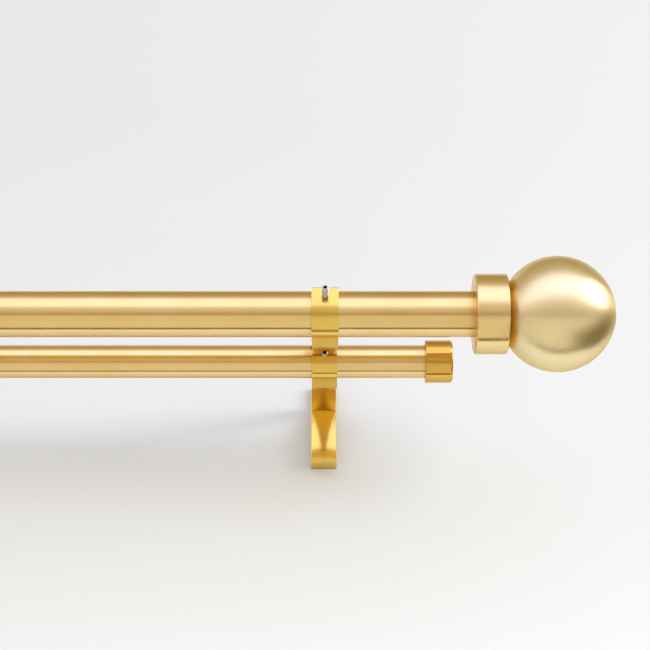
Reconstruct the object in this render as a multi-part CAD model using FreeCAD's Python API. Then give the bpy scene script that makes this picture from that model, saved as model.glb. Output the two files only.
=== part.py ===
import FreeCAD, Part
import os

# Double curtain pole: a large front pole with ball ends and a small rear pole
# with plain caps, both lying in cradles on two wall brackets.
# Millimetres. X runs along the poles, +Y goes into the wall, +Z is up.
# The origin lies in the wall plane, mid-way between the four screw holes.

V = FreeCAD.Vector
os.makedirs("parts", exist_ok=True)

# Poles
FRONT_OD = 25.4
REAR_OD = 19.05
TUBE_WALL = 1.5
BRACKET_SPACING = 1000.0
FRONT_Y = -148.0
REAR_Y = -92.0
AXIS_Z = -1.0

# Finial on the front pole, measured from the middle of the bracket
COLLAR_START = 82.0
COLLAR_OD = 44.3
COLLAR_LEN = 17.8
COLLAR_BORE_DEPTH = 11.0
COLLAR_EDGE = 0.8
TUBE_FIT = 0.1
BALL_D = 64.0
BALL_FLAT_R = 15.6
STUD_D = 8.0
STUD_LEN = 38.0
STUD_IN_BALL = 16.0
PLUG_LEN = 24.0

# Cap on the rear pole
CAP_START = 58.1
CAP_LEN = 15.6
CAP_OD = 24.6
CAP_END = 2.4
CAP_EDGE = 1.4
CAP_MOUTH_EDGE = 0.4

# Bracket
ARM_T = 4.4
ARM_W = 14.4
ARM_WALL_W = 14.9
STRIP_T = 2.0
FRONT_STRIP_W = ARM_W + 0.4
REAR_STRIP_W = ARM_W
FRONT_LIP_H = 8.7
REAR_LIP_H = 7.6
ARM_UNDER_Z = AXIS_Z + 10.7
ARM_BEND_R = 2.0
ARM_TENON = 2.0
TENON_W = 11.0
NOSE_LEAN = 0.35
GRUB_D = 3.6
GRUB_SOCKET_AF = 2.0
GRUB_SOCKET_DEPTH = 2.0
FRONT_GRUB_Z = AXIS_Z + 3.6
FRONT_GRUB_OUT = 8.4
REAR_GRUB_Z = AXIS_Z - 0.8
REAR_GRUB_OUT = 1.2

# Wall plate and the block that hides its screws
PLATE_W = 15.4
PLATE_T = 3.0
PLATE_H = 54.8
LEDGE_H = 2.8
SKIRT_T = 1.5
SKIRT_GAP = 0.5
SKIRT_EDGE = 0.4
HOOK_H = 2.8
HOLE_D = 4.5
HOLE_SPACING = 38.0
SINK_D = 8.6
BLOCK_W = ARM_WALL_W
BLOCK_OUT = 5.6
BULGE_OUT = 10.2
BULGE_MID_Z = -12.0
BULGE_DRAW = 1.3
CROWN_R = 36.0
LOCK_D = 2.0
LOCK_LEN = 6.0
LOCK_SOCKET_AF = 0.9
LOCK_SUNK = 0.3

FRONT_R = FRONT_OD / 2.0
REAR_R = REAR_OD / 2.0
PLATE_TOP = PLATE_H / 2.0
PLATE_BOTTOM = -PLATE_H / 2.0
HOOK_Z = PLATE_TOP - HOOK_H
LEDGE_OUT = BULGE_OUT - BULGE_DRAW - SKIRT_T - SKIRT_GAP
SIDES = (("left", -1.0), ("right", 1.0))


def save(shape, name):
    shape = shape.removeSplitter()
    shape.exportStep(os.path.join("parts", name + ".step"))


def box(x0, x1, y0, y1, z0, z1):
    return Part.makeBox(x1 - x0, y1 - y0, z1 - z0, V(x0, y0, z0))


def rod_x(radius, x0, x1, y, z):
    return Part.makeCylinder(radius, x1 - x0, V(x0, y, z), V(1, 0, 0))


def rod_y(radius, y0, y1, x, z):
    return Part.makeCylinder(radius, y1 - y0, V(x, y0, z), V(0, 1, 0))


def rod_z(radius, z0, z1, x, y):
    return Part.makeCylinder(radius, z1 - z0, V(x, y, z0), V(0, 0, 1))


def hex_prism(across_flats, start, direction, depth):
    # Six-sided key socket, cut from start along direction
    outer = across_flats / 3.0 ** 0.5
    axis = V(direction).normalize()
    side = axis.cross(V(1, 0, 0))
    if side.Length < 0.1:
        side = axis.cross(V(0, 0, 1))
    side.normalize()
    turn = FreeCAD.Rotation(axis, 60.0)
    points = [V(side) * outer]
    for _ in range(5):
        points.append(turn.multVec(points[-1]))
    points.append(points[0])
    wire = Part.makePolygon([V(start) + p for p in points])
    return Part.Face(wire).extrude(axis * depth)


def prism_x(outline, width, x):
    # Outline of (y, z) corners, extruded along X and centred on x
    corners = [V(x - width / 2.0, y, z) for y, z in outline]
    wire = Part.makePolygon(corners + corners[:1])
    return Part.Face(wire).extrude(V(width, 0, 0))


def mirror_for(side, shape):
    # The left-hand pieces are mirror images of the right-hand ones
    if side > 0:
        return shape
    return shape.mirror(V(0, 0, 0), V(1, 0, 0))


def tube(radius, half_length, y):
    outer = rod_x(radius, -half_length, half_length, y, AXIS_Z)
    inner = rod_x(radius - TUBE_WALL, -half_length - 1.0, half_length + 1.0, y, AXIS_Z)
    return outer.cut(inner)


def soften(shape, radius, pick):
    edges = [e for e in shape.Edges if pick(e)]
    return shape.makeFillet(radius, edges)


# Poles
FRONT_HALF = BRACKET_SPACING / 2.0 + COLLAR_START + COLLAR_BORE_DEPTH
REAR_HALF = BRACKET_SPACING / 2.0 + CAP_START + CAP_LEN - CAP_END
save(tube(FRONT_R, FRONT_HALF, FRONT_Y), "front_pole")
save(tube(REAR_R, REAR_HALF, REAR_Y), "rear_pole")


def collar(x0):
    # Turned collar: a deep bore takes the tube, a small hole takes the stud
    body = rod_x(COLLAR_OD / 2.0, x0, x0 + COLLAR_LEN, FRONT_Y, AXIS_Z)
    rims = [e for e in body.Edges if e.Curve.TypeId == "Part::GeomCircle"]
    body = body.makeFillet(COLLAR_EDGE, rims)
    bore = rod_x(FRONT_R + TUBE_FIT, x0 - 1.0, x0 + COLLAR_BORE_DEPTH, FRONT_Y, AXIS_Z)
    hole = rod_x(STUD_D / 2.0, x0, x0 + COLLAR_LEN + 1.0, FRONT_Y, AXIS_Z)
    return body.cut(bore).cut(hole)


def ball(x0):
    # Ball with a turned flat that seats on the collar and a blind tapped hole
    radius = BALL_D / 2.0
    centre = x0 + (radius ** 2 - BALL_FLAT_R ** 2) ** 0.5
    body = Part.makeSphere(radius, V(centre, FRONT_Y, AXIS_Z), V(1, 0, 0), -90, 90, 360)
    keep = rod_x(radius + 1.0, x0, centre + radius + 1.0, FRONT_Y, AXIS_Z)
    hole = rod_x(STUD_D / 2.0, x0 - 1.0, x0 + STUD_IN_BALL, FRONT_Y, AXIS_Z)
    return body.common(keep).cut(hole)


def plug(x1):
    # Plug pressed into the tube end, tapped for the stud
    body = rod_x(FRONT_R - TUBE_WALL, x1 - PLUG_LEN, x1, FRONT_Y, AXIS_Z)
    return body.cut(rod_x(STUD_D / 2.0, x1 - PLUG_LEN - 1.0, x1 + 1.0, FRONT_Y, AXIS_Z))


def end_cap(x0):
    # Turned cap with a blind bore for the rear tube and a rounded outer edge
    body = rod_x(CAP_OD / 2.0, x0, x0 + CAP_LEN, REAR_Y, AXIS_Z)
    body = soften(body, CAP_EDGE, lambda e: e.BoundBox.XMin > x0 + CAP_LEN - 0.01)
    body = soften(body, CAP_MOUTH_EDGE, lambda e: e.BoundBox.XMax < x0 + 0.01)
    return body.cut(rod_x(REAR_R, x0 - 1.0, x0 + CAP_LEN - CAP_END, REAR_Y, AXIS_Z))


def make_ends(name, side):
    middle = BRACKET_SPACING / 2.0
    face = middle + COLLAR_START + COLLAR_LEN
    stud_end = face + STUD_IN_BALL
    stud = rod_x(STUD_D / 2.0, stud_end - STUD_LEN, stud_end, FRONT_Y, AXIS_Z)
    save(mirror_for(side, collar(middle + COLLAR_START)), name + "_collar")
    save(mirror_for(side, ball(face)), name + "_ball")
    save(mirror_for(side, stud), name + "_finial_stud")
    save(mirror_for(side, plug(FRONT_HALF)), name + "_pole_plug")
    save(mirror_for(side, end_cap(middle + CAP_START)), name + "_end_cap")


def trough(y, radius, width, front_top, back_top, x):
    # Solid U: half a disc below the pole axis, straight sides above it
    disc = rod_x(radius, x - width / 2.0, x + width / 2.0, y, AXIS_Z)
    low = disc.common(box(x - width, x + width, y - 99, y + 99, AXIS_Z - 99, AXIS_Z))
    front = box(x - width / 2.0, x + width / 2.0, y - radius, y, AXIS_Z, front_top)
    back = box(x - width / 2.0, x + width / 2.0, y, y + radius, AXIS_Z, back_top)
    return low.fuse(front).fuse(back)


def strip_cradle(y, pole_r, width, lip, x):
    # Thin strip bent to a U: the pole lies in it, its front leg holds the grub screw
    top = AXIS_Z + lip
    outer = trough(y, pole_r + STRIP_T, width, top, top, x)
    inner = trough(y, pole_r, width + 2.0, top + 9.0, top + 9.0, x)
    shape = outer.cut(inner).removeSplitter()
    rims = []
    for e in shape.Edges:
        b = e.BoundBox
        flat = b.XLength > width - 0.1 and b.YLength < 0.01
        if flat and abs(b.ZMax - top) < 0.01 and b.YMax < y - pole_r - STRIP_T + 0.1:
            rims.append(e)
    return shape.makeFillet(0.8, rims)


def hook_bar(y, inner_r, back_top, x):
    # Thick bar bent to a J: it runs down behind the strip and ends under the pole,
    # its end cut leaning a little towards the wall
    outer = trough(y, inner_r + ARM_T, ARM_W, back_top, back_top, x)
    inner = trough(y, inner_r, ARM_W + 2.0, back_top + 1.0, back_top + 1.0, x)
    end_z = AXIS_Z - inner_r
    keep = prism_x([(y, back_top), (y, end_z), (y + 60.0 * NOSE_LEAN, end_z - 60.0),
                    (y + 60.0, end_z - 60.0), (y + 60.0, back_top)], 2.0 * ARM_W, x)
    return outer.cut(inner).common(keep).removeSplitter()


def front_arm(x):
    # Level bar from the wall block, over the rear pole, bent down behind the front pole.
    # It widens towards the wall, where its shoulder follows the block's crown.
    back = FRONT_Y + FRONT_R + STRIP_T
    top = ARM_UNDER_Z + ARM_T
    hook = hook_bar(FRONT_Y, FRONT_R + STRIP_T, top, x)
    near = ARM_W / 2.0
    far = ARM_WALL_W / 2.0
    wall_end = -BLOCK_OUT + 2.0
    plan = [(-near, back), (near, back), (near, REAR_Y), (far, wall_end), (-far, wall_end),
            (-near, REAR_Y)]
    corners = [V(x + dx, y, ARM_UNDER_Z) for dx, y in plan]
    level = Part.Face(Part.makePolygon(corners + corners[:1])).extrude(V(0, 0, ARM_T))
    arm = hook.fuse(level.cut(crowned_front(x))).fuse(tenon(x)).removeSplitter()
    arm = soften(arm, ARM_BEND_R + ARM_T, lambda e: across_at(e, back, top))
    return soften(arm, ARM_BEND_R, lambda e: across_at(e, back + ARM_T, ARM_UNDER_Z))


def across_at(edge, y, z):
    b = edge.BoundBox
    if b.XLength < 1.0:
        return False
    return max(abs(b.YMin - y), abs(b.YMax - y), abs(b.ZMin - z), abs(b.ZMax - z)) < 0.02


def rear_arm(x):
    return hook_bar(REAR_Y, REAR_R + STRIP_T, ARM_UNDER_Z, x)


def grub_screw(pole_y, pole_r, out, z, x):
    # Headless screw through the lip; its tip bears on the pole, its socket faces out
    face = pole_y - pole_r - STRIP_T
    drop = abs(z - AXIS_Z)
    tip = pole_y - (pole_r ** 2 - drop ** 2) ** 0.5
    body = rod_y(GRUB_D / 2.0, face - out, tip, x, z)
    body = body.cut(rod_x(pole_r, x - 9.0, x + 9.0, pole_y, AXIS_Z))
    rim = [e for e in body.Edges if e.BoundBox.YMax < face - out + 0.01]
    body = body.makeChamfer(0.35, rim)
    start = V(x, face - out, z)
    return body.cut(hex_prism(GRUB_SOCKET_AF, start, V(0, 1, 0), GRUB_SOCKET_DEPTH))


def wall_plate(x):
    # Plate screwed to the wall, with a ledge along its foot that carries the block
    low = PLATE_BOTTOM
    plate = prism_x([(0.0, low), (0.0, HOOK_Z), (-PLATE_T, HOOK_Z), (-PLATE_T, low + LEDGE_H),
                     (-LEDGE_OUT, low + LEDGE_H), (-LEDGE_OUT, low)], PLATE_W, x)
    body = soften(plate, SKIRT_EDGE, lambda e: across_at(e, -LEDGE_OUT, low))
    for z in (-HOLE_SPACING / 2.0, HOLE_SPACING / 2.0):
        body = body.cut(rod_y(HOLE_D / 2.0, -PLATE_T - 1.0, 1.0, x, z))
        depth = (SINK_D - HOLE_D) / 2.0
        cone = Part.makeCone(SINK_D / 2.0, HOLE_D / 2.0, depth, V(x, -PLATE_T, z), V(0, 1, 0))
        body = body.cut(cone)
    return body.cut(lock_rod(x, 0.0))


def crowned_front(x):
    # Everything behind the block's front face: its side curve turned about an upright
    # axis, so that the face is crowned from side to side as well
    axis_y = CROWN_R - BULGE_OUT
    swell = Part.BSplineCurve()
    swell.interpolate([V(x, -BLOCK_OUT, ARM_UNDER_Z),
                       V(x, -BLOCK_OUT - 0.6 * (BULGE_OUT - BLOCK_OUT),
                         ARM_UNDER_Z + 0.45 * (BULGE_MID_Z - ARM_UNDER_Z)),
                       V(x, -BULGE_OUT, BULGE_MID_Z),
                       V(x, -BULGE_OUT + BULGE_DRAW, PLATE_BOTTOM)])
    corners = [V(x, -BULGE_OUT + BULGE_DRAW, PLATE_BOTTOM), V(x, axis_y, PLATE_BOTTOM),
               V(x, axis_y, PLATE_TOP), V(x, -BLOCK_OUT, PLATE_TOP),
               V(x, -BLOCK_OUT, ARM_UNDER_Z)]
    wire = Part.Wire(list(Part.makePolygon(corners).Edges) + [swell.toShape()])
    return Part.Face(wire).revolve(V(x, axis_y, 0), V(0, 0, 1), 360)


def tenon(x):
    return box(x - TENON_W / 2.0, x + TENON_W / 2.0, -BLOCK_OUT - 1.0, -BLOCK_OUT + ARM_TENON,
               ARM_UNDER_Z, ARM_UNDER_Z + ARM_T)


def lock_rod(x, gap):
    # Upright rod through the block's hook into the top edge of the plate
    top = PLATE_TOP - gap
    return rod_z(LOCK_D / 2.0, PLATE_TOP - LOCK_LEN, top, x, -PLATE_T / 2.0)


def wall_block(x):
    # Block over the wall screws: it hooks over the plate's top, its foot hides the ledge
    low = PLATE_BOTTOM
    skirt_y = -LEDGE_OUT - SKIRT_GAP
    outline = [(-2.0 * BULGE_OUT, low), (skirt_y, low), (skirt_y, low + LEDGE_H),
               (-PLATE_T, low + LEDGE_H), (-PLATE_T, HOOK_Z), (0.0, HOOK_Z),
               (0.0, PLATE_TOP), (-2.0 * BULGE_OUT, PLATE_TOP)]
    body = prism_x(outline, BLOCK_W, x).common(crowned_front(x)).removeSplitter()
    return body.cut(tenon(x)).cut(lock_rod(x, 0.0))


def lock_screw(x):
    # Small headless screw that holds the block down on the plate
    start = V(x, -PLATE_T / 2.0, PLATE_TOP - LOCK_SUNK)
    socket = hex_prism(LOCK_SOCKET_AF, start, V(0, 0, -1), LOCK_D / 2.0)
    return lock_rod(x, LOCK_SUNK).cut(socket)


def make_bracket(name, side):
    x = BRACKET_SPACING / 2.0
    front_screw = grub_screw(FRONT_Y, FRONT_R, FRONT_GRUB_OUT, FRONT_GRUB_Z, x)
    rear_screw = grub_screw(REAR_Y, REAR_R, REAR_GRUB_OUT, REAR_GRUB_Z, x)
    front_hole = rod_y(GRUB_D / 2.0, FRONT_Y - FRONT_R - STRIP_T - 1.0,
                       FRONT_Y, x, FRONT_GRUB_Z)
    rear_hole = rod_y(GRUB_D / 2.0, REAR_Y - REAR_R - STRIP_T - 1.0,
                      REAR_Y, x, REAR_GRUB_Z)
    front_strip = strip_cradle(FRONT_Y, FRONT_R, FRONT_STRIP_W, FRONT_LIP_H, x)
    rear_strip = strip_cradle(REAR_Y, REAR_R, REAR_STRIP_W, REAR_LIP_H, x)
    save(mirror_for(side, front_strip.cut(front_hole)), name + "_front_cradle")
    save(mirror_for(side, rear_strip.cut(rear_hole)), name + "_rear_cradle")
    save(mirror_for(side, front_screw), name + "_front_grub_screw")
    save(mirror_for(side, rear_screw), name + "_rear_grub_screw")
    save(mirror_for(side, front_arm(x)), name + "_front_arm")
    save(mirror_for(side, rear_arm(x)), name + "_rear_arm")
    save(mirror_for(side, wall_plate(x)), name + "_wall_plate")
    save(mirror_for(side, wall_block(x)), name + "_wall_block")
    save(mirror_for(side, lock_screw(x)), name + "_lock_screw")


for side_name, side_sign in SIDES:
    make_ends(side_name, side_sign)
    make_bracket(side_name, side_sign)
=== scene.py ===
# %% [markdown]
# # A double curtain pole in brass
#
# The piece is a pair of brass tubes on two wall brackets. The large front tube
# carries a ball on a turned collar at each end, the small rear tube a plain cap.
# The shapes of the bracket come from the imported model. This lesson gives every
# piece its finish, turns the round pieces as smooth surfaces, and cuts threads
# on the screws. Lengths are metres: X runs along the tubes, +Y goes into the
# wall and +Z is up.

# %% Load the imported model
import math
import bpy
import bmesh
import numpy as np
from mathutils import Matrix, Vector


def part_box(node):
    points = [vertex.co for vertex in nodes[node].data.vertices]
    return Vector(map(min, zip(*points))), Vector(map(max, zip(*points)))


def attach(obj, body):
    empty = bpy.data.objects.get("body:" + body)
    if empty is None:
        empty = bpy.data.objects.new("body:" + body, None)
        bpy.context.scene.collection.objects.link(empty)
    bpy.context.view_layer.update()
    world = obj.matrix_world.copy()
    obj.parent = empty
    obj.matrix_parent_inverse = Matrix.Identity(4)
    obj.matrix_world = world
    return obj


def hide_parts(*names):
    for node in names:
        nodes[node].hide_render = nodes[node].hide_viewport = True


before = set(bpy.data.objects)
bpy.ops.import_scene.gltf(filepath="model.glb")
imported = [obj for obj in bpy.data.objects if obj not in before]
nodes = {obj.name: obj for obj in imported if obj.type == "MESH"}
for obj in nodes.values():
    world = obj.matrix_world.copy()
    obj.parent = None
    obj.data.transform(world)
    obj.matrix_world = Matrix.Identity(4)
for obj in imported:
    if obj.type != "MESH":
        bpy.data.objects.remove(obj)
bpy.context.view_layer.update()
MM = 0.001
print("pieces in the packed model:", len(nodes))

# %% [markdown]
# ## Where the pieces lie
#
# Nothing is measured twice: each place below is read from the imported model's
# own boxes, so the turned surfaces keep fitting when a size is changed there.

# %% Places and sizes read from the model


def span(node, axis):
    """The lowest and highest coordinate of a node along one axis."""
    low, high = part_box(node)
    return float(low[axis]), float(high[axis])


def middle(node, axis):
    """Half-way between a node's two ends along one axis."""
    low, high = span(node, axis)
    return (low + high) / 2.0


def across(node, axis):
    """A node's full size along one axis."""
    low, high = span(node, axis)
    return high - low


SIDES = {"left": -1.0, "right": 1.0}
FRONT_AXIS = (middle("front_pole", 1), middle("front_pole", 2))
REAR_AXIS = (middle("rear_pole", 1), middle("rear_pole", 2))
print("front tube", round(across("front_pole", 2) / MM, 2), "mm across, rear tube",
      round(across("rear_pole", 2) / MM, 2), "mm across")
print("brackets", round(2.0 * middle("right_wall_plate", 0) / MM, 1), "mm apart")

# %% [markdown]
# ## The camera
#
# The pole hangs above the viewer's eye, so the camera stands low in front of the
# right-hand bracket and looks up. A long lens keeps the tubes nearly parallel. A
# small sideways shift frames the ball end without turning the camera, which
# would make the upright edges of the bracket lean.

# %% Camera
CAMERA_PLACE = (0.49397, -0.96286, -0.45955)
CAMERA_PITCH = 29.0
CAMERA_LENS = 94.15
CAMERA_SENSOR = 36.0
CAMERA_SHIFT = 0.0169
CAMERA_NEAR = 0.01

camera_data = bpy.data.cameras.new("camera")
camera_data.lens = CAMERA_LENS
camera_data.sensor_width = CAMERA_SENSOR
camera_data.shift_x = CAMERA_SHIFT
camera_data.clip_start = CAMERA_NEAR
camera = bpy.data.objects.new("camera", camera_data)
camera.location = CAMERA_PLACE
camera.rotation_euler = (math.radians(90.0 + CAMERA_PITCH), 0.0, 0.0)
bpy.context.scene.collection.objects.link(camera)
bpy.context.scene.camera = camera
bpy.context.scene.view_settings.view_transform = "Standard"
print("camera looks up", CAMERA_PITCH, "degrees through a", CAMERA_LENS, "mm lens")

# %% [markdown]
# ## Helpers for materials
#
# A material is a small graph of nodes. These helpers add a node, wire the graph
# up and turn a colour as it is read on a screen into the linear values that a
# shader works with.

# %% Helpers for materials


def linear(red, green, blue):
    """Screen colour, 0 to 255, to linear light: the power curve of the sRGB standard."""
    value = np.array([red, green, blue]) / 255.0
    low = value / 12.92
    high = ((value + 0.055) / 1.055) ** 2.4
    return tuple(float(v) for v in np.where(value <= 0.04045, low, high)) + (1.0,)


def new_graph(name):
    """A material with an empty graph. Returns the material, its nodes and its links."""
    material = bpy.data.materials.new(name)
    material.use_nodes = True
    tree = material.node_tree
    tree.nodes.clear()
    return material, tree.nodes, tree.links


def add(graph, kind, **values):
    """Adds one node and sets its properties and the inputs named in values."""
    node = graph.new(kind)
    for key, value in values.items():
        if hasattr(node, key):
            setattr(node, key, value)
        else:
            node.inputs[key.replace("_", " ")].default_value = value
    return node


def wire(links, pairs):
    """Joins the output and the input of each pair."""
    for output, entry in pairs:
        links.new(output, entry)


print("half grey on the screen is", round(linear(128, 128, 128)[0], 3), "in linear light")

# %% [markdown]
# ## Matt paint for the wall and a shelf
#
# Both are painted with a roller, which leaves a faint grain: a fine noise drives
# a very low bump. The wall of a studio is a thin flat, and here it is made to be
# seen from the room only. From behind, and for light that starts within a
# millimetre of it, the paint is clear. That lets the backs of the wall plates,
# which lie against it, be looked at.

# %% Matt paint
PAINT_ROUGHNESS = 0.85
PAINT_SHINE = 0.2
ROLLER_SCALE = 350.0
ROLLER_STRENGTH = 0.04
ROLLER_HEIGHT = 0.5 * MM
CLEAR_WITHIN = 1.0 * MM


def matt_paint(name, colour, glow=0.0):
    """Rough paint with a roller grain, clear from behind. A glow stands for bounced light."""
    material, graph, links = new_graph(name)
    place = add(graph, "ShaderNodeTexCoord")
    grain = add(graph, "ShaderNodeTexNoise", Scale=ROLLER_SCALE, Detail=3.0)
    bump = add(graph, "ShaderNodeBump", Strength=ROLLER_STRENGTH, Distance=ROLLER_HEIGHT)
    paint = add(graph, "ShaderNodeBsdfPrincipled", Base_Color=colour,
                Roughness=PAINT_ROUGHNESS, Specular_IOR_Level=PAINT_SHINE,
                Emission_Color=colour, Emission_Strength=glow)
    clear = add(graph, "ShaderNodeBsdfTransparent")
    face = add(graph, "ShaderNodeNewGeometry")
    rays = add(graph, "ShaderNodeLightPath")
    close = add(graph, "ShaderNodeMath", operation="LESS_THAN")
    close.inputs[1].default_value = CLEAR_WITHIN
    see_through = add(graph, "ShaderNodeMath", operation="MAXIMUM")
    mix = add(graph, "ShaderNodeMixShader")
    out = add(graph, "ShaderNodeOutputMaterial")
    wire(links, [
        (place.outputs["Object"], grain.inputs["Vector"]),
        (grain.outputs[0], bump.inputs["Height"]),
        (bump.outputs["Normal"], paint.inputs["Normal"]),
        (rays.outputs["Ray Length"], close.inputs[0]),
        (face.outputs["Backfacing"], see_through.inputs[0]),
        (close.outputs[0], see_through.inputs[1]),
        (see_through.outputs[0], mix.inputs[0]),
        (paint.outputs[0], mix.inputs[1]),
        (clear.outputs[0], mix.inputs[2]),
        (mix.outputs[0], out.inputs["Surface"]),
    ])
    return material


print("the wall is clear for rays under", CLEAR_WITHIN / MM, "mm")

# %% [markdown]
# ## The wall and the shelf below
#
# The brackets hang on a plain pale wall. A cream shelf below it lies outside the
# picture but shows in the underside of the metal, and the gap between the shelf
# and the wall is the thin dark line along the tubes. The right-hand ends of the
# two bound the dark patch low on the ball. Each is one flat face of four corners.

# %% Wall and shelf
WALL_COLOUR = linear(210, 213, 209)
WALL_GAP = 0.2 * MM
WALL_LEFT = -3.0
WALL_RIGHT = 0.86
WALL_BOTTOM = -0.38
WALL_TOP = 0.36
SHELF_COLOUR = linear(236, 231, 212)
SHELF_GLOW = 0.08
SHELF_RIGHT = 0.84
SHELF_FRONT = -0.58
SHELF_BACK = -0.05
SHELF_Z = -0.50


def flat_sheet(name, corners, paint):
    """Four corners in order, as one face whose front follows the right-hand rule."""
    mesh = bpy.data.meshes.new(name)
    mesh.from_pydata(corners, [], [(0, 1, 2, 3)])
    mesh.materials.append(paint)
    sheet = bpy.data.objects.new(name, mesh)
    bpy.context.scene.collection.objects.link(sheet)


wall_corners = [(WALL_LEFT, WALL_BOTTOM), (WALL_RIGHT, WALL_BOTTOM),
                (WALL_RIGHT, WALL_TOP), (WALL_LEFT, WALL_TOP)]
shelf_corners = [(WALL_LEFT, SHELF_FRONT), (SHELF_RIGHT, SHELF_FRONT),
                 (SHELF_RIGHT, SHELF_BACK), (WALL_LEFT, SHELF_BACK)]
flat_sheet("wall", [(x, WALL_GAP, z) for x, z in wall_corners],
           matt_paint("wall_paint", WALL_COLOUR))
flat_sheet("shelf", [(x, y, SHELF_Z) for x, y in shelf_corners],
           matt_paint("shelf_paint", SHELF_COLOUR, SHELF_GLOW))
print("wall", WALL_RIGHT - WALL_LEFT, "m wide, shelf", -SHELF_Z, "m below the tubes")

# %% [markdown]
# ## The room that the metal shows
#
# Polished metal shows the room, so the room matters as much as the lamps. Seen
# along the tubes it is a ramp over one angle: 0 is level in front of the tubes,
# 90 straight up, 180 level behind the wall, and angles below level are negative.
# One broad soft box reaches from about 10 to 55 degrees, and the ceiling above it
# is dim. Two white boards lie below level, with a narrow dim gap between them at
# -29, and what lies straight below and behind is dark. Dim parts are warm, like
# floor boards, and bright parts a little cool, like the cloth of a soft box.

# %% Levels of the room
ROOM_LEVELS = [
    (-180.0, 0.22), (-150.0, 0.18), (-118.0, 0.18), (-80.0, 0.20), (-62.0, 0.70),
    (-46.0, 0.88), (-38.0, 0.70), (-32.0, 0.60), (-29.0, 0.42), (-26.0, 0.60),
    (-18.0, 0.70), (-8.0, 0.78), (1.0, 0.88), (8.0, 1.15), (14.0, 1.38), (50.0, 1.38),
    (57.0, 1.05), (65.0, 0.74), (76.0, 0.56), (100.0, 0.49), (116.0, 0.45), (180.0, 0.30),
]
WARM = (1.0, 0.79, 0.34)
COOL = (0.99, 1.01, 1.30)
WARM_UP_TO = 0.3


def room_colour(level):
    """Warm up to a low level, then blended towards cool as the level rises by one."""
    blend = min(max(level - WARM_UP_TO, 0.0), 1.0)
    return [level * (w + blend * (c - w)) for w, c in zip(WARM, COOL)] + [1.0]


def room_ramp(graph):
    """One stop for each level: -180 to 180 degrees lie on the ramp from 0 to 1."""
    ramp = add(graph, "ShaderNodeValToRGB")
    stops = ramp.color_ramp.elements
    while len(stops) > 1:
        stops.remove(stops[-1])
    for number, (degrees, level) in enumerate(ROOM_LEVELS):
        place = (degrees + 180.0) / 360.0
        stop = stops[0] if number == 0 else stops.new(place)
        stop.position = place
        stop.color = room_colour(level)
    return ramp


print("the room has", len(ROOM_LEVELS), "levels, the brightest is",
      max(level for angle, level in ROOM_LEVELS))

# %% [markdown]
# ## The world around the scene
#
# A world shader gets the direction of each ray, and the angle of the ramp is the
# arc tangent of its height over its reach out into the room. The metal shows the
# ramp, but a view that looks past the wall's edges shows a plain pale grey.

# %% World
BACKGROUND = linear(236, 236, 236)


def make_room():
    """World light from the ramp. Camera and transmitted rays see the plain background."""
    world = bpy.data.worlds.new("studio")
    bpy.context.scene.world = world
    world.use_nodes = True
    graph, links = world.node_tree.nodes, world.node_tree.links
    graph.clear()
    place = add(graph, "ShaderNodeTexCoord")
    split = add(graph, "ShaderNodeSeparateXYZ")
    towards = add(graph, "ShaderNodeMath", operation="MULTIPLY")
    towards.inputs[1].default_value = -1.0
    angle = add(graph, "ShaderNodeMath", operation="ARCTAN2")
    scale = add(graph, "ShaderNodeMapRange", From_Min=-math.pi, From_Max=math.pi)
    ramp = room_ramp(graph)
    room = add(graph, "ShaderNodeBackground", Strength=1.0)
    pale = add(graph, "ShaderNodeBackground", Color=BACKGROUND, Strength=1.0)
    rays = add(graph, "ShaderNodeLightPath")
    seen = add(graph, "ShaderNodeMath", operation="MAXIMUM")
    mix = add(graph, "ShaderNodeMixShader")
    out = add(graph, "ShaderNodeOutputWorld")
    wire(links, [
        (place.outputs["Generated"], split.inputs[0]),
        (split.outputs["Y"], towards.inputs[0]),
        (split.outputs["Z"], angle.inputs[0]),
        (towards.outputs[0], angle.inputs[1]),
        (angle.outputs[0], scale.inputs["Value"]),
        (scale.outputs[0], ramp.inputs[0]),
        (ramp.outputs[0], room.inputs["Color"]),
        (rays.outputs["Is Camera Ray"], seen.inputs[0]),
        (rays.outputs["Is Transmission Ray"], seen.inputs[1]),
        (seen.outputs[0], mix.inputs[0]),
        (room.outputs[0], mix.inputs[1]),
        (pale.outputs[0], mix.inputs[2]),
        (mix.outputs[0], out.inputs["Surface"]),
    ])
    return world


print("world light:", make_room().name)

# %% [markdown]
# ## Three lamps
#
# The key lamp is wide and soft, at the right and near the level of the tubes. It
# throws the long soft shadows on the wall. The side lamp stands further right and
# higher: only the metal shows it, as the hot spot on the ball. The foot lamp lies
# below and lifts the foot of the wall. Key and foot lamp are kept out of the
# reflections, because the ramp already holds what the metal shows there.

# %% Key lamp, side lamp and foot lamp
KEY_TARGET = (0.50, 0.0, 0.0)
SIDE_TARGET = (0.63, -0.148, 0.0)
FOOT_TARGET = (0.20, 0.0, -0.05)


def add_lamp(name, target, azimuth, elevation, distance, width, height, power):
    """Soft lamp aimed at a target, from angles right of the wall's normal and above level."""
    turn, lift = math.radians(azimuth), math.radians(elevation)
    towards = np.array([math.sin(turn) * math.cos(lift), -math.cos(turn) * math.cos(lift),
                        math.sin(lift)])
    data = bpy.data.lights.new(name, "AREA")
    data.shape = "RECTANGLE"
    data.size = width
    data.size_y = height
    data.energy = power
    lamp = bpy.data.objects.new(name, data)
    lamp.location = np.array(target) + distance * towards
    lamp.rotation_euler = (math.radians(90.0) - lift, 0.0, turn)
    bpy.context.scene.collection.objects.link(lamp)
    print(name, "at", [round(v, 2) for v in lamp.location])
    return lamp


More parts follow.
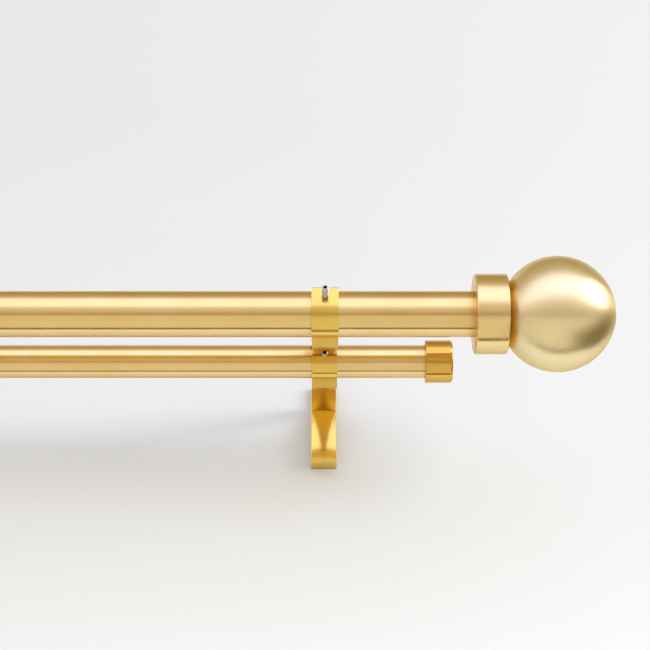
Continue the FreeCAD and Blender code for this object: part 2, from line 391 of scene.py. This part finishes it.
key_lamp = add_lamp("key_lamp", KEY_TARGET, azimuth=50.0, elevation=5.0, distance=2.8,
                    width=1.9, height=0.5, power=42.0)
key_lamp.visible_glossy = False
side_lamp = add_lamp("side_lamp", SIDE_TARGET, azimuth=75.0, elevation=25.0, distance=1.6,
                     width=1.05, height=1.0, power=10.5)
side_lamp.visible_diffuse = False
foot_lamp = add_lamp("foot_lamp", FOOT_TARGET, azimuth=0.0, elevation=-60.0, distance=0.45,
                     width=2.6, height=0.12, power=2.2)
foot_lamp.visible_glossy = False

# %% [markdown]
# ## Brass and steel from one recipe
#
# Brushing and turning leave hair-fine scratches along the direction of travel, so
# the noise that drives roughness and bump is stretched along that direction. A
# second, larger noise shifts the tint a little, as lacquer does, and a third one
# is the smear of a cloth. A picture of scratches could do the same, but it would
# tile, and noise in object space runs on without a seam. Satin pieces also pull
# their highlights out along the piece: an anisotropic shine, whose tangent goes
# round the X axis and is then turned by a quarter. A Mix node for colours keeps
# its two colours and its result behind the sockets for numbers, hence the three
# socket numbers.

# %% Recipe for a metal
CLOUD_SCALE = 38.0
SMEAR_SCALE = 150.0
SCRATCH_STRENGTH = 0.35
LACQUER_ROUGHNESS = 0.12
EDGE_TINT = (0.80, 0.68, 0.48, 1.0)
QUARTER_TURN = 0.25
TINT_A, TINT_B, TINT_RESULT = 6, 7, 2


def metal(name, base, deep, roughness, spread, grain, scratch, coat=0.0, pull=0.0):
    """Metal with scratches: grain is their noise scale along X, Y and Z, scratch their depth in
    metres. A pull above zero draws the highlights out along the piece."""
    material, graph, links = new_graph(name)
    place = add(graph, "ShaderNodeTexCoord")
    stretch = add(graph, "ShaderNodeMapping", Scale=grain)
    hair = add(graph, "ShaderNodeTexNoise", Scale=1.0, Detail=4.0, Roughness=0.6)
    cloud = add(graph, "ShaderNodeTexNoise", Scale=CLOUD_SCALE, Detail=3.0, Roughness=0.55)
    smear = add(graph, "ShaderNodeTexNoise", Scale=SMEAR_SCALE, Detail=4.0, Roughness=0.6)
    fade = add(graph, "ShaderNodeMapRange", From_Min=0.35, From_Max=0.75, To_Max=0.5)
    tint = add(graph, "ShaderNodeMix", data_type="RGBA")
    tint.inputs[TINT_A].default_value = base
    tint.inputs[TINT_B].default_value = deep
    worn = add(graph, "ShaderNodeMath", operation="ADD")
    rough = add(graph, "ShaderNodeMapRange", From_Min=0.6, From_Max=1.4,
                To_Min=roughness - spread, To_Max=roughness + spread)
    bump = add(graph, "ShaderNodeBump", Strength=SCRATCH_STRENGTH, Distance=scratch)
    shader = add(graph, "ShaderNodeBsdfPrincipled", Metallic=1.0, Specular_Tint=EDGE_TINT,
                 Coat_Weight=coat, Coat_Roughness=LACQUER_ROUGHNESS)
    if pull > 0.0:
        shader.inputs["Anisotropic"].default_value = pull
        shader.inputs["Anisotropic Rotation"].default_value = QUARTER_TURN
        groove = add(graph, "ShaderNodeTangent", direction_type="RADIAL", axis="X")
        links.new(groove.outputs[0], shader.inputs["Tangent"])
    out = add(graph, "ShaderNodeOutputMaterial")
    wire(links, [
        (place.outputs["Object"], stretch.inputs["Vector"]),
        (place.outputs["Object"], cloud.inputs["Vector"]),
        (place.outputs["Object"], smear.inputs["Vector"]),
        (stretch.outputs[0], hair.inputs["Vector"]),
        (cloud.outputs[0], fade.inputs["Value"]),
        (fade.outputs[0], tint.inputs[0]),
        (tint.outputs[TINT_RESULT], shader.inputs["Base Color"]),
        (hair.outputs[0], worn.inputs[0]),
        (smear.outputs[0], worn.inputs[1]),
        (worn.outputs[0], rough.inputs["Value"]),
        (rough.outputs[0], shader.inputs["Roughness"]),
        (hair.outputs[0], bump.inputs["Height"]),
        (bump.outputs["Normal"], shader.inputs["Normal"]),
        (shader.outputs[0], out.inputs["Surface"]),
    ])
    return material


ALONG_TUBE = (60.0, 5200.0, 5200.0)
ROUND_THE_LATHE = (5200.0, 160.0, 160.0)
UP_THE_BAR = (900.0, 900.0, 300.0)
ALL_WAYS = (2500.0, 2500.0, 2500.0)
print("scratches on a tube are", round(ALONG_TUBE[1] / ALONG_TUBE[0]), "times as long as wide")

# %% [markdown]
# ## Satin brass
#
# The tubes are drawn and brushed lengthwise. The collars and balls are turned, so
# their scratches run round. A thin lacquer lies on all three, and the ball is the
# palest and dullest of them.

# %% Satin brass
SATIN = linear(239, 210, 146)
SATIN_DEEP = linear(231, 197, 126)
COLLAR = linear(241, 215, 154)
COLLAR_DEEP = linear(234, 204, 137)
BALL = linear(245, 227, 180)
BALL_DEEP = linear(239, 217, 163)

tube_brass = metal("drawn_satin_brass", SATIN, SATIN_DEEP, roughness=0.24, spread=0.03,
                   grain=ALONG_TUBE, scratch=0.000003, coat=0.2, pull=0.9)
turned_brass = metal("turned_satin_brass", COLLAR, COLLAR_DEEP, roughness=0.26, spread=0.03,
                     grain=ROUND_THE_LATHE, scratch=0.000003, coat=0.2, pull=0.9)
ball_brass = metal("ball_satin_brass", BALL, BALL_DEEP, roughness=0.36, spread=0.03,
                   grain=ROUND_THE_LATHE, scratch=0.000003, coat=0.05, pull=0.7)
print("satin brass base colour", [round(c, 3) for c in SATIN[:3]])

# %% [markdown]
# ## Polished brass
#
# The bracket and the rear caps are buffed. They mirror the room sharply, so their
# colour looks deeper where the room is dark. Only a low, soft unevenness from
# the buffing wheel is left, with faint wipe marks in the roughness. The end of
# the collar that faces the ball is faced bright and never brushed or lacquered.
# Its deeper colour is painted shade: its reflection makes the neck of the ball,
# where ball and collar meet, dark and warm. The plugs inside
# the tubes are left as they come from the lathe.

# %% Polished, faced and plain brass; the faced colour is painted shade
POLISHED = linear(236, 202, 100)
POLISHED_DEEP = linear(227, 188, 80)
CAP = linear(224, 180, 88)
CAP_DEEP = linear(212, 164, 66)
# Faced end of the collar: a deeper colour, painted shade at the neck of the ball.
FACED_PAINTED_SHADE = linear(228, 184, 52)
FACED_PAINTED_SHADE_DEEP = linear(214, 166, 38)
PLAIN = linear(214, 184, 118)
PLAIN_DEEP = linear(196, 162, 92)

polished_brass = metal("polished_brass", POLISHED, POLISHED_DEEP, roughness=0.20, spread=0.03,
                       grain=UP_THE_BAR, scratch=0.000005, coat=0.6)
cap_brass = metal("polished_turned_brass", CAP, CAP_DEEP, roughness=0.13, spread=0.03,
                  grain=ROUND_THE_LATHE, scratch=0.000006, coat=0.25)
# Deeper colour of the faced end: painted shade, seen in its reflection at the ball's neck.
faced_brass_painted_shade = metal("faced_brass_painted_shade", FACED_PAINTED_SHADE, FACED_PAINTED_SHADE_DEEP, roughness=0.18, spread=0.03,
                    grain=ROUND_THE_LATHE, scratch=0.000004)
plain_brass = metal("plain_brass", PLAIN, PLAIN_DEEP, roughness=0.34, spread=0.08,
                    grain=ROUND_THE_LATHE, scratch=0.00003)
print("polished brass base colour", [round(c, 3) for c in POLISHED[:3]])

# %% [markdown]
# ## Steel for the screws
#
# The screws and studs are zinc-plated steel, grey against the brass. Their key
# holes get a dark, dull steel from the same recipe: painted shade for their insides.

# %% Plated steel, and dark steel as painted shade for the key holes
STEEL = linear(192, 188, 184)
STEEL_DEEP = linear(166, 162, 158)
# Dark, dull steel for the key holes: painted shade for their insides.
SOCKET_PAINTED_SHADE = linear(84, 76, 68)
SOCKET_PAINTED_SHADE_DEEP = linear(52, 46, 40)

steel = metal("plated_steel", STEEL, STEEL_DEEP, roughness=0.24, spread=0.06,
              grain=ALL_WAYS, scratch=0.00001)
# Dark, dull steel: painted shade for the insides of the key holes.
socket_painted_shade_steel = metal("socket_painted_shade_steel", SOCKET_PAINTED_SHADE, SOCKET_PAINTED_SHADE_DEEP, roughness=0.45, spread=0.06,
                    grain=ALL_WAYS, scratch=0.00001)
print("steel base colour", [round(c, 3) for c in STEEL[:3]])

# %% [markdown]
# ## Finishes on the bracket
#
# The arms, cradles, plates and blocks are flat or bent bar and keep the shape of
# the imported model, as do the plugs in the tubes. Each one only trades its
# material for a detailed one.

# %% Finishes on the pieces that keep their shape
KEPT = {
    "front_arm": polished_brass, "rear_arm": polished_brass,
    "front_cradle": polished_brass, "rear_cradle": polished_brass,
    "wall_plate": polished_brass, "wall_block": polished_brass,
    "pole_plug": plain_brass,
}


def give_finish(node, material):
    """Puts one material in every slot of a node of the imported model."""
    if not node.material_slots:
        node.data.materials.append(material)
    for place in node.material_slots:
        place.material = material


for side in SIDES:
    for piece, material in KEPT.items():
        give_finish(nodes[side + "_" + piece], material)
print("finished", 2 * len(KEPT), "pieces of the brackets and plugs")

# %% [markdown]
# ## From arrays to a finished piece
#
# The round pieces and the screws are made from arrays of points. This step is the
# same for all: the points and faces go into a mesh, points that fall together on
# an axis are merged, the faces are turned outwards, and the edges of the piece
# stay sharp while the rest is shaded smooth.

# %% Mesh of a new piece
MERGE_WITHIN = 1e-7
NO_LENGTH = 1e-8
SHARP_FROM = math.radians(32.0)


def build(name, points, faces, material, replaced):
    """Makes one closed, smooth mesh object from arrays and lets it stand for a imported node."""
    mesh = bpy.data.meshes.new(name)
    mesh.from_pydata(points.tolist(), [], faces.tolist())
    work = bmesh.new()
    work.from_mesh(mesh)
    bmesh.ops.remove_doubles(work, verts=work.verts, dist=MERGE_WITHIN)
    bmesh.ops.dissolve_degenerate(work, edges=work.edges, dist=NO_LENGTH)
    bmesh.ops.recalc_face_normals(work, faces=work.faces)
    work.to_mesh(mesh)
    work.free()
    mesh.shade_smooth()
    mesh.set_sharp_from_angle(angle=SHARP_FROM)
    mesh.materials.append(material)
    piece = bpy.data.objects.new(name, mesh)
    bpy.context.scene.collection.objects.link(piece)
    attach(piece, "root")
    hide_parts(replaced)
    print(name, len(mesh.polygons), "faces")
    return piece


def grid_faces(rows, columns, wrap_rows):
    """Quad of row r and column c: points (r, c), (r, c + 1), (r + 1, c + 1) and (r + 1, c).
    Point (r, c) is number r * columns + c. Columns close up, and rows where wrap_rows is set."""
    count = rows if wrap_rows else rows - 1
    row = np.arange(count)[:, None]
    column = np.arange(columns)[None, :]
    down = (row + 1) % rows
    right = (column + 1) % columns
    corners = [row * columns + column, row * columns + right,
               down * columns + right, down * columns + column]
    sheets = [np.broadcast_to(corner, (count, columns)) for corner in corners]
    return np.stack(sheets, axis=-1).reshape(-1, 4)


print("a grid of 3 rows and 4 columns has", len(grid_faces(3, 4, False)), "faces")

# %% [markdown]
# ## A second finish on part of a piece
#
# One turned piece can have a face that is finished in another way. Here the
# centres of all faces are read as one array, a test picks some of them, and those
# get the piece's second material. Splitting the piece would do it too, but it was
# turned as one.

# %% Second finish


def face_centres(piece):
    """The centre of each face, one row of X, Y and Z for each."""
    faces = piece.data.polygons
    centres = np.empty(3 * len(faces), np.float32)
    faces.foreach_get("center", centres)
    return centres.reshape(-1, 3)


def finish_again(piece, material, chosen):
    """Gives a second material to the faces for which the array chosen is true."""
    piece.data.materials.append(material)
    piece.data.polygons.foreach_set("material_index", chosen.astype(np.int32))
    print(piece.name, "has", int(chosen.sum()), "faces in", material.name)


print("second finishes are given by the centres of the faces")

# %% [markdown]
# ## Turning on a lathe, in numbers
#
# A lathe makes a surface of revolution: a profile swept round an axis. As numbers
# it is a grid. One parameter walks along the profile and gives a distance along
# the axis and a radius; the other is the angle. A grid of a few thousand points
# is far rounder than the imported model's facets, and the soft highlights need it.

# %% Turned surfaces


def turned(name, profile, axis_yz, material, replaced, around=128):
    """Point = (along, y0 + r cos a, z0 + r sin a): a closed profile swept through the angle a."""
    profile = np.array(profile, float)
    angle = np.linspace(0.0, 2.0 * np.pi, around, endpoint=False)
    along = np.broadcast_to(profile[:, :1], (len(profile), around))
    y = axis_yz[0] + profile[:, 1:] * np.cos(angle)
    z = axis_yz[1] + profile[:, 1:] * np.sin(angle)
    points = np.stack([along, y, z], axis=-1).reshape(-1, 3)
    faces = grid_faces(len(profile), around, True)
    return build(name, points, faces, material, replaced)


def arc(centre, radius, start, end, count=9):
    """Point = centre + radius (cos a, sin a), with a from start to end in degrees."""
    angle = np.radians(np.linspace(start, end, count))
    along = centre[0] + radius * np.cos(angle)
    out = centre[1] + radius * np.sin(angle)
    return np.stack([along, out], axis=-1)


print("a quarter round is", len(arc((0.0, 0.0), 1.0, 90, 0)), "points of a profile")

# %% [markdown]
# ## The two tubes
#
# Drawn brass tube, 1.5 mm in the wall. The ends are cut square and lightly
# deburred, which is a round of a quarter of a millimetre on each corner of the
# wall's outline.

# %% Tubes
TUBE_WALL = 1.5 * MM
TUBE_ROUND = 0.25 * MM
TUBE_AROUND = 160
ROUND_POINTS = 5


def tube_profile(half, radius):
    """Closed outline of a tube's wall: four corners, each turned through a quarter circle."""
    end = half - TUBE_ROUND
    outside = radius - TUBE_ROUND
    inside = radius - TUBE_WALL + TUBE_ROUND
    corners = [((end, outside), 90, 0), ((end, inside), 0, -90),
               ((-end, inside), -90, -180), ((-end, outside), 180, 90)]
    return np.concatenate([arc(c, TUBE_ROUND, a, b, ROUND_POINTS) for c, a, b in corners])


for node, axis_yz in (("front_pole", FRONT_AXIS), ("rear_pole", REAR_AXIS)):
    outline = tube_profile(across(node, 0) / 2.0, across(node, 2) / 2.0)
    turned(node + "_tube", outline, axis_yz, tube_brass, node,
           around=TUBE_AROUND)

# %% [markdown]
# ## Outlines of collar, ball and cap
#
# The collar is a short turned drum with softly rounded rims. The ball seats on
# it with a small turned flat. The cap is pushed over the rear tube. Each profile
# is a closed outline, bores included, so the finished meshes are shut like the
# real pieces. It is drawn for the right-hand end.

# %% Outlines of collar, ball and cap
COLLAR_ROUND = 0.8 * MM
BORE_FIT = 0.1 * MM
STUD_R = across("right_finial_stud", 2) / 2.0
BALL_POINTS = 97
CAP_ROUND = 1.4 * MM
CAP_ROUND_POINTS = 11
CAP_LIP = 0.4 * MM


def collar_outline():
    """Drum from rim to rim, then back through the stud's hole and the tube's bore."""
    start, end = span("right_collar", 0)
    rim = across("right_collar", 2) / 2.0 - COLLAR_ROUND
    bore_end = span("front_pole", 0)[1]
    bore = across("front_pole", 2) / 2.0 + BORE_FIT
    return np.concatenate([
        arc((start + COLLAR_ROUND, rim), COLLAR_ROUND, 180, 90),
        arc((end - COLLAR_ROUND, rim), COLLAR_ROUND, 90, 0),
        [(end, STUD_R), (bore_end, STUD_R), (bore_end, bore), (start, bore)],
    ])


def ball_outline():
    """Circle arc from the seat's rim over the tip, then the seat and the stud's blind hole."""
    start, end = span("right_ball", 0)
    radius = across("right_ball", 2) / 2.0
    centre = end - radius
    seat_angle = math.degrees(math.acos((start - centre) / radius))
    shell = arc((centre, 0.0), radius, seat_angle, 0.0, BALL_POINTS)
    shell[-1, 1] = 0.0
    hole_end = span("right_finial_stud", 0)[1]
    return np.concatenate([shell, [(hole_end, 0.0), (hole_end, STUD_R), (start, STUD_R)]])


def cap_outline():
    """Drum with a rounded end and a small round at its mouth, bored for the rear tube."""
    start, end = span("right_end_cap", 0)
    radius = across("right_end_cap", 2) / 2.0
    bore = across("rear_pole", 2) / 2.0
    bore_end = span("rear_pole", 0)[1]
    mouth = (start + CAP_LIP, radius - CAP_LIP)
    rim = (end - CAP_ROUND, radius - CAP_ROUND)
    return np.concatenate([
        [(start, bore)],
        arc(mouth, CAP_LIP, 180, 90, ROUND_POINTS),
        arc(rim, CAP_ROUND, 90, 0, CAP_ROUND_POINTS),
        [(end, 0.0), (bore_end, 0.0), (bore_end, bore)],
    ])


print("points of the outlines:", len(collar_outline()), "collar,", len(ball_outline()),
      "ball,", len(cap_outline()), "cap")

# %% [markdown]
# ## Collars, balls and caps
#
# The two ends are mirror images, so the left-hand outline is the right-hand one
# with X turned round. The collar gets a second material on the faces that lie in
# the plane of its outer end: a deeper colour, painted shade for the neck of the ball.

# %% Collars, balls and caps
BALL_AROUND = 192
IN_PLANE_WITHIN = 0.01 * MM


def facing(outline, sign):
    """The same outline, mirrored along X for the left-hand end."""
    return outline * (sign, 1.0)


def face_off_with_painted_shade(collar, end_x):
    """The end that faces the ball is faced bright in the lathe; its deeper colour is painted
    shade at the ball's neck.
    """
    in_plane = np.abs(face_centres(collar)[:, 0] - end_x) < IN_PLANE_WITHIN
    finish_again(collar, faced_brass_painted_shade, in_plane)


for side, sign in SIDES.items():
    collar = turned(side + "_collar_turned", facing(collar_outline(), sign), FRONT_AXIS,
                    turned_brass, side + "_collar")
    # The faced end gets the deeper colour: painted shade at the neck of the ball.
    face_off_with_painted_shade(collar, sign * span("right_collar", 0)[1])
    turned(side + "_ball_turned", facing(ball_outline(), sign), FRONT_AXIS,
           ball_brass, side + "_ball", around=BALL_AROUND)
    turned(side + "_end_cap_turned", facing(cap_outline(), sign), REAR_AXIS,
           cap_brass, side + "_end_cap")

# %% [markdown]
# ## Screw threads
#
# A metric thread is a helix of a small triangular ridge. On a grid it is one
# formula: the radius falls from the crest by the thread's depth times a triangle
# wave of (distance along the axis / pitch + angle / full turn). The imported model
# has plain rods for the studs and the little screws, so they are cut here.

# %% Skin of a thread
DEPTH_IN_PITCHES = 0.54
ROWS_PER_PITCH = 10
SCREW_AROUND = 48
SCREW_ANGLE = np.linspace(0.0, 2.0 * np.pi, SCREW_AROUND, endpoint=False)


def ring_round(axis):
    """Unit vectors round an axis: cos(a) first + sin(a) second, both square to the axis."""
    helper = np.array([1.0, 0.0, 0.0]) if abs(axis[0]) < 0.5 else np.array([0.0, 0.0, 1.0])
    first = np.cross(axis, helper)
    first /= np.linalg.norm(first)
    second = np.cross(axis, first)
    return np.cos(SCREW_ANGLE)[:, None] * first + np.sin(SCREW_ANGLE)[:, None] * second


def thread_skin(start, axis, length, radius, pitch):
    """Radius = crest - depth * triangle(along / pitch + angle / turn), faded out at both tips."""
    depth = DEPTH_IN_PITCHES * pitch
    rows = int(round(length / pitch * ROWS_PER_PITCH)) + 1
    along = np.linspace(0.0, length, rows)
    phase = along[:, None] / pitch + SCREW_ANGLE[None, :] / (2.0 * np.pi)
    wave = np.abs(2.0 * (phase - np.floor(phase)) - 1.0)
    taper = np.minimum(along, length - along)[:, None] / depth
    crest = radius - depth * np.clip(1.0 - taper, 0.0, 1.0)
    reach = np.minimum(radius - depth * wave, crest)
    centre = start + along[:, None] * axis
    return (centre[:, None, :] + reach[:, :, None] * ring_round(axis)).reshape(-1, 3)


print("a thread of 1 mm pitch is", DEPTH_IN_PITCHES, "mm deep")

# %% [markdown]
# ## Key holes
#
# A headless screw has a six-sided hole in its end for the key. It is two more
# rings of the same grid, one at the screw's end and one on the hole's floor, and
# one point in the middle. The faces inside it get the dark steel, as painted shade.

# %% Key holes
HEXAGON_SECTOR = np.pi / 3.0
CORNER_IN_WIDTHS = 0.58
FIRST_IN_DEPTHS = 0.02
LAST_IN_DEPTHS = 1.01


def point_ring(point):
    """One point, repeated round the ring: the merge makes it a pole of the grid."""
    return np.broadcast_to(point, (SCREW_AROUND, 3))


def socket_rows(start, axis, socket):
    """The radius of a hexagon is half its width over the cosine of the angle to its flat."""
    width, depth = socket
    to_flat = np.mod(SCREW_ANGLE, HEXAGON_SECTOR) - HEXAGON_SECTOR / 2.0
    reach = (width / 2.0 / np.cos(to_flat))[:, None] * ring_round(axis)
    floor = start + depth * axis
    return [point_ring(floor), floor + reach, start + reach]


def paint_socket_shade(piece, start, axis, socket):
    """Faces that lie below the screw's end and within the key hole's corners get painted shade.
    """
    width, depth = socket
    offset = face_centres(piece) - start
    sunk = offset @ axis
    off_axis = np.linalg.norm(offset - sunk[:, None] * axis, axis=1)
    in_depth = (sunk > FIRST_IN_DEPTHS * depth) & (sunk < LAST_IN_DEPTHS * depth)
    finish_again(piece, socket_painted_shade_steel, in_depth & (off_axis < CORNER_IN_WIDTHS * width))


print("a hexagon's corner lies", round(0.5 / math.cos(HEXAGON_SECTOR / 2.0), 3),
      "widths from its middle")

# %% [markdown]
# ## Cutting the screws
#
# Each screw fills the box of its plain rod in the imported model. The studs run
# along X and have no key hole. The grub screws start at the front, the lock
# screws at the top, each with its key hole at the start.

# %% Studs, grub screws and lock screws
STUD_PITCH = 1.25 * MM
GRUB_PITCH = 0.6 * MM
LOCK_PITCH = 0.4 * MM
GRUB_SOCKET = (2.0 * MM, 1.4 * MM)
LOCK_SOCKET = (0.9 * MM, 1.0 * MM)


def cut_screw(node, axis_number, sign, pitch, socket=None):
    """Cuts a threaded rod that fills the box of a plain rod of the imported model."""
    low, high = span(node, axis_number)
    start = np.array([middle(node, number) for number in range(3)])
    start[axis_number] = low if sign > 0 else high
    axis = np.zeros(3)
    axis[axis_number] = sign
    radius = across(node, 0 if axis_number else 1) / 2.0
    first_rows = socket_rows(start, axis, socket) if socket else [point_ring(start)]
    tip = start + (high - low) * axis
    points = np.concatenate(
        first_rows + [thread_skin(start, axis, high - low, radius, pitch), point_ring(tip)])
    faces = grid_faces(len(points) // SCREW_AROUND, SCREW_AROUND, False)
    piece = build(node + "_threaded", points, faces, steel, node)
    if socket:
        # The key hole's faces get the dark steel: painted shade.
        paint_socket_shade(piece, start, axis, socket)


for side, sign in SIDES.items():
    cut_screw(side + "_finial_stud", 0, sign, STUD_PITCH)
    cut_screw(side + "_lock_screw", 2, -1, LOCK_PITCH, LOCK_SOCKET)
    for place in ("_front", "_rear"):
        cut_screw(side + place + "_grub_screw", 1, 1, GRUB_PITCH, GRUB_SOCKET)
